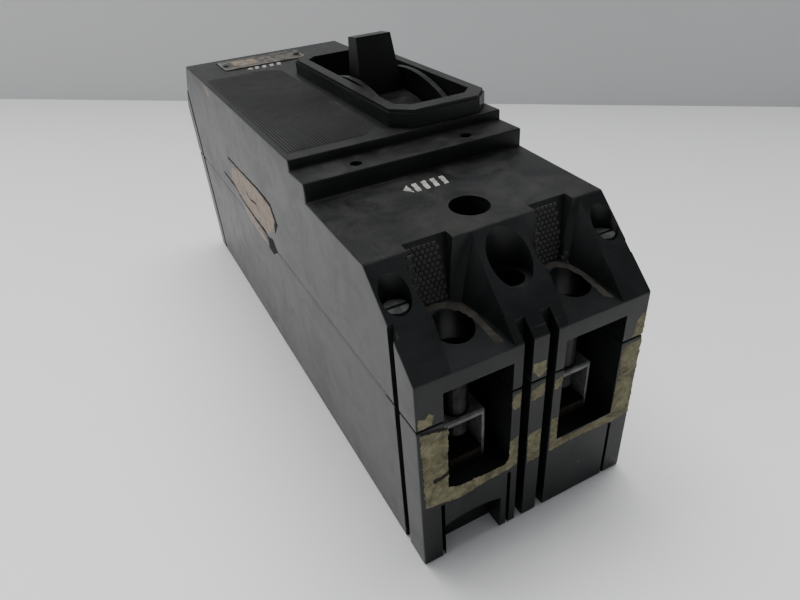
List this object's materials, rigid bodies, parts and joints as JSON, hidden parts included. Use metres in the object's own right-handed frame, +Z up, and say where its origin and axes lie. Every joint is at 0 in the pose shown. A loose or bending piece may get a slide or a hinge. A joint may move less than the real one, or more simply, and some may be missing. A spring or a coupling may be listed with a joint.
{
  "type": "molded case circuit breaker",
  "caption": "Black molded-case circuit breaker with a toggle handle in a raised collar, stepped cover, wire windows, box lugs and a thermal-magnetic mechanism inside.",
  "frame": {"origin": "centre of the footprint on the mounting face, which lies on the ground", "axes": "+Z up out of the cover towards the handle; -Y towards the line end, +Y towards the load end; +X to the right seen from the line end"},
  "size_m": [0.0762, 0.2414, 0.1234],
  "materials": {
    "moulding": "semi-matt black thermoset with faint dust",
    "handle_moulding": "semi-matt black",
    "insulation": "dull brown fibre board",
    "copper": "dull copper",
    "silver": "satin silver alloy",
    "steel": "dull zinc plate",
    "tin": "dull grey plate",
    "nameplate": "dark printed foil with a bright border"
  },
  "bodies": {
    "case": {"base": "moulding", "cover": "moulding", "nameplate": "nameplate", "cover_screw_centre": "steel", "cradle_pin": "steel", "line_strap_left": "copper", "load_strap_left": "copper", "line_lug_left": "tin", "load_lug_left": "tin", "cover_screw_line_left": "steel", "cover_screw_load_left": "steel", "fixed_contact_left": "silver", "mechanism_plate_left": "steel", "handle_pivot_left": "steel", "arc_chute_left": "insulation", "bimetal_left": "silver", "magnet_yoke_left": "steel", "braid_left": "copper", "nameplate_rivet_left": "tin", "line_strap_right": "copper", "load_strap_right": "copper", "line_lug_right": "tin", "load_lug_right": "tin", "cover_screw_line_right": "steel", "cover_screw_load_right": "steel", "fixed_contact_right": "silver", "mechanism_plate_right": "steel", "handle_pivot_right": "steel", "arc_chute_right": "insulation", "bimetal_right": "silver", "magnet_yoke_right": "steel", "braid_right": "copper", "nameplate_rivet_right": "tin"},
    "handle": {"handle": "handle_moulding", "handle_yoke": "steel", "spring_anchor_pin": "steel", "main_spring_left": "steel", "main_spring_right": "steel"},
    "contact_arms": {"crossbar": "insulation", "contact_arm_left": "copper", "contact_arm_right": "copper", "moving_contact_left": "silver", "moving_contact_right": "silver"},
    "cradle": {"cradle": "steel"},
    "upper_link": {"upper_link": "steel", "toggle_pin": "steel"},
    "lower_link": {"lower_link": "steel"},
    "trip_bar": {"trip_bar": "insulation", "calibration_screw_left": "steel", "calibration_screw_right": "steel"},
    "latch": {"latch": "steel"},
    "armature_left": {"armature_left": "steel"},
    "armature_right": {"armature_right": "steel"},
    "line_lug_screw_left": {"line_lug_screw_left": "steel"},
    "line_lug_screw_right": {"line_lug_screw_right": "steel"},
    "load_lug_screw_left": {"load_lug_screw_left": "steel"},
    "load_lug_screw_right": {"load_lug_screw_right": "steel"}
  },
  "joints": [
    {"name": "handle_swing", "type": "hinge", "parent": "case", "child": "handle", "pos_m": [0.0182, 0.00135, 0.042], "axis": [1, 0, 0], "range_deg": [-20, 28]},
    {"name": "contact_arms_swing", "type": "hinge", "parent": "case", "child": "contact_arms", "pos_m": [0, 0.006, 0.03], "axis": [1, 0, 0], "range_deg": [-16.01, 22.41]},
    {"name": "cradle_swing", "type": "hinge", "parent": "case", "child": "cradle", "pos_m": [0.0182, -0.016, 0.066], "axis": [1, 0, 0], "range_deg": [-6, 0]},
    {"name": "upper_link_swing", "type": "hinge", "parent": "cradle", "child": "upper_link", "pos_m": [0.0182, 0.002, 0.066], "axis": [1, 0, 0], "range_deg": [-10.96, 7.83]},
    {"name": "lower_link_swing", "type": "hinge", "parent": "contact_arms", "child": "lower_link", "pos_m": [0.0182, -0.01287, 0.0367], "axis": [1, 0, 0], "range_deg": [-5.64, 4.03]},
    {"name": "trip_bar_swing", "type": "hinge", "parent": "case", "child": "trip_bar", "pos_m": [0, 0.062, 0.066], "axis": [1, 0, 0], "range_deg": [-8, 0], "stiffness_Nm_per_rad": 0.05, "springref_deg": 5.73},
    {"name": "latch_swing", "type": "hinge", "parent": "case", "child": "latch", "pos_m": [0.0182, 0.05, 0.048], "axis": [1, 0, 0], "range_deg": [0, 8], "stiffness_Nm_per_rad": 0.01, "springref_deg": -5.73},
    {"name": "armature_swing_left", "type": "hinge", "parent": "case", "child": "armature_left", "pos_m": [-0.0193, 0.0617, 0.0425], "axis": [1, 0, 0], "range_deg": [0, 4], "stiffness_Nm_per_rad": 0.02, "springref_deg": -5.73},
    {"name": "armature_swing_right", "type": "hinge", "parent": "case", "child": "armature_right", "pos_m": [0.0193, 0.0617, 0.0425], "axis": [1, 0, 0], "range_deg": [0, 4], "stiffness_Nm_per_rad": 0.02, "springref_deg": -5.73},
    {"name": "line_lug_screw_slide_left", "type": "slide", "parent": "case", "child": "line_lug_screw_left", "axis": [0, 0, 1], "range_m": [-0.0055, 0.003]},
    {"name": "line_lug_screw_slide_right", "type": "slide", "parent": "case", "child": "line_lug_screw_right", "axis": [0, 0, 1], "range_m": [-0.0055, 0.003]},
    {"name": "load_lug_screw_slide_left", "type": "slide", "parent": "case", "child": "load_lug_screw_left", "axis": [0, 0, 1], "range_m": [-0.0055, 0.003]},
    {"name": "load_lug_screw_slide_right", "type": "slide", "parent": "case", "child": "load_lug_screw_right", "axis": [0, 0, 1], "range_m": [-0.0055, 0.003]}
  ],
  "couplings": [
    {"joint": "contact_arms_swing", "follows": "handle_swing", "ratio": 0.8},
    {"joint": "upper_link_swing", "follows": "handle_swing", "ratio": -0.391},
    {"joint": "lower_link_swing", "follows": "handle_swing", "ratio": -0.201}
  ]
}
